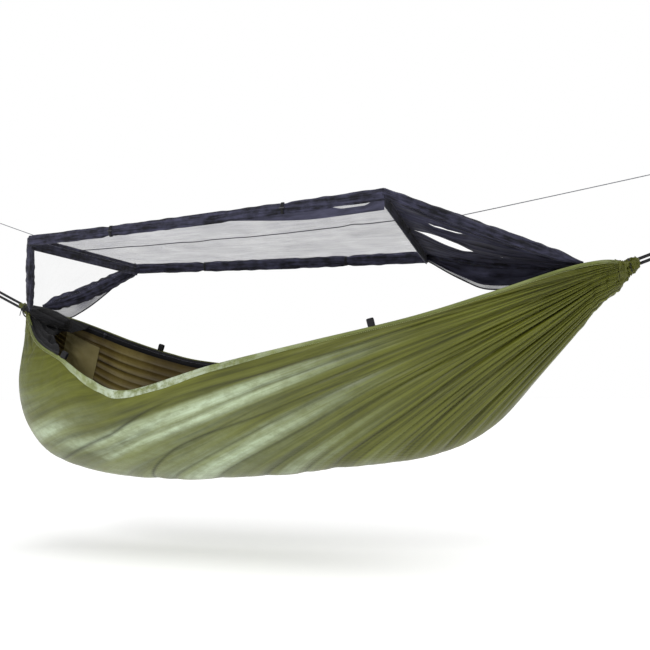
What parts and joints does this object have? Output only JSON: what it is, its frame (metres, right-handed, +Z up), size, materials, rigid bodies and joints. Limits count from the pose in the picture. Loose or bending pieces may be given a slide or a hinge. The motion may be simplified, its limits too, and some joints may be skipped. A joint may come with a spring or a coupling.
{
  "type": "camping hammock",
  "caption": "Gathered-end olive nylon hammock with a dark mosquito net on spreader rods, both side doors rolled up, hung on doubled cords with carabiners.",
  "frame": {"origin": "middle of the level line between the turns of the two suspension cords in their carabiners", "axes": "+X along the hammock from the end under the short upright net to the end under the long sloping net, +Y from the front side to the back side, +Z up"},
  "size_m": [2.8504, 0.7238, 1.0463],
  "materials": {
    "olive_nylon": "satin",
    "inner_nylon": "matte",
    "mosquito_net": "matte",
    "bunched_net": "matte",
    "black_webbing": "matte",
    "black_cord": "matte",
    "elastic_cord": "matte",
    "rod_fibreglass": "satin",
    "alloy": "satin",
    "hook_plastic": "satin",
    "zip_metal": "satin"
  },
  "bodies": {
    "anchors": {"carabiner_left": "alloy", "gate_pin_left": "alloy", "carabiner_right": "alloy", "gate_pin_right": "alloy", "elastic_hook_left": "hook_plastic", "elastic_hook_right": "hook_plastic"},
    "gate_left": {"carabiner_gate_left": "alloy"},
    "gate_right": {"carabiner_gate_right": "alloy"},
    "slider_front_left": {"zip_slider_front_left": "zip_metal"},
    "pull_front_left": {"zip_pull_front_left": "zip_metal"},
    "slider_front_right": {"zip_slider_front_right": "zip_metal"},
    "pull_front_right": {"zip_pull_front_right": "zip_metal"},
    "slider_back_left": {"zip_slider_back_left": "zip_metal"},
    "pull_back_left": {"zip_pull_back_left": "zip_metal"},
    "slider_back_right": {"zip_slider_back_right": "zip_metal"},
    "pull_back_right": {"zip_pull_back_right": "zip_metal"},
    "hammock": {"base_outer_layer": "olive_nylon", "base_inner_layer": "inner_nylon", "front_hem": "olive_nylon", "front_zip_tape": "black_webbing", "back_hem": "olive_nylon", "back_zip_tape": "black_webbing", "inner_pocket": "inner_nylon", "head_net_skirt": "bunched_net", "end_channel_left": "olive_nylon", "end_channel_right": "olive_nylon", "tie_out_loop_front_left": "black_webbing", "tie_out_loop_front_right": "black_webbing", "tie_out_loop_back_left": "black_webbing", "tie_out_loop_back_right": "black_webbing", "net_roof": "mosquito_net", "end_net_left": "mosquito_net", "end_net_right": "mosquito_net", "front_door_roll": "bunched_net", "back_door_roll": "bunched_net", "net_seam_front_left": "bunched_net", "net_seam_back_left": "bunched_net", "net_seam_front_right": "bunched_net", "net_seam_back_right": "bunched_net", "net_flap_back_left": "mosquito_net", "net_flap_front_left": "mosquito_net", "net_flap_front_right": "mosquito_net", "net_flap_back_right": "mosquito_net", "door_tie_front_left": "black_webbing", "door_tie_front_right": "black_webbing", "door_tie_back_left": "black_webbing", "door_tie_back_right": "black_webbing", "spreader_rod_left": "rod_fibreglass", "rod_sleeve_left": "bunched_net", "cord_tab_left": "black_webbing", "spreader_rod_right": "rod_fibreglass", "rod_sleeve_right": "bunched_net", "cord_tab_right": "black_webbing", "suspension_loop_left": "black_cord", "gather_lashing_left": "black_cord", "suspension_loop_right": "black_cord", "gather_lashing_right": "black_cord", "ridge_elastic_left": "elastic_cord", "ridge_elastic_right": "elastic_cord"}
  },
  "joints": [
    {"name": "swing", "type": "hinge", "parent": "anchors", "child": "hammock", "pos_m": [0, 0, 0], "axis": [1, 0, 0], "range_deg": [-30, 30], "deforming": ["ridge_elastic_left", "ridge_elastic_right"]},
    {"name": "gate_left_hinge", "type": "hinge", "parent": "anchors", "child": "gate_left", "pos_m": [-1.37526, 0.016, 0.00451], "axis": [0.4383, 0, 0.8988], "range_deg": [0, 24], "stiffness_Nm_per_rad": 0.02, "springref_deg": -22.92},
    {"name": "gate_right_hinge", "type": "hinge", "parent": "anchors", "child": "gate_right", "pos_m": [1.37572, 0.016, 0.00342], "axis": [0.3323, 0, -0.9432], "range_deg": [0, 24], "stiffness_Nm_per_rad": 0.02, "springref_deg": -22.92},
    {"name": "zip_front_left_slide", "type": "slide", "parent": "hammock", "child": "slider_front_left", "axis": [0.8791, -0.2951, -0.3744], "range_m": [0, 0.05]},
    {"name": "pull_front_left_hinge", "type": "hinge", "parent": "slider_front_left", "child": "pull_front_left", "pos_m": [-0.79987, -0.20301, -0.3385], "axis": [0.8791, -0.2951, -0.3744], "range_deg": [0, 95]},
    {"name": "zip_front_right_slide", "type": "slide", "parent": "hammock", "child": "slider_front_right", "axis": [0.8855, 0.3439, 0.3124], "range_m": [0, 0.05]},
    {"name": "pull_front_right_hinge", "type": "hinge", "parent": "slider_front_right", "child": "pull_front_right", "pos_m": [0.80156, -0.15236, -0.15398], "axis": [0.8855, 0.3439, 0.3124], "range_deg": [0, 95]},
    {"name": "zip_back_left_slide", "type": "slide", "parent": "hammock", "child": "slider_back_left", "axis": [0.8273, 0.4155, -0.378], "range_m": [0, 0.05]},
    {"name": "pull_back_left_hinge", "type": "hinge", "parent": "slider_back_left", "child": "pull_back_left", "pos_m": [-0.84502, 0.16637, -0.23013], "axis": [-0.8273, -0.4155, 0.378], "range_deg": [0, 95]},
    {"name": "zip_back_right_slide", "type": "slide", "parent": "hammock", "child": "slider_back_right", "axis": [0.87, -0.3378, 0.3592], "range_m": [0, 0.05]},
    {"name": "pull_back_right_hinge", "type": "hinge", "parent": "slider_back_right", "child": "pull_back_right", "pos_m": [0.80129, 0.15243, -0.17232], "axis": [-0.87, 0.3378, -0.3592], "range_deg": [0, 95]}
  ]
}
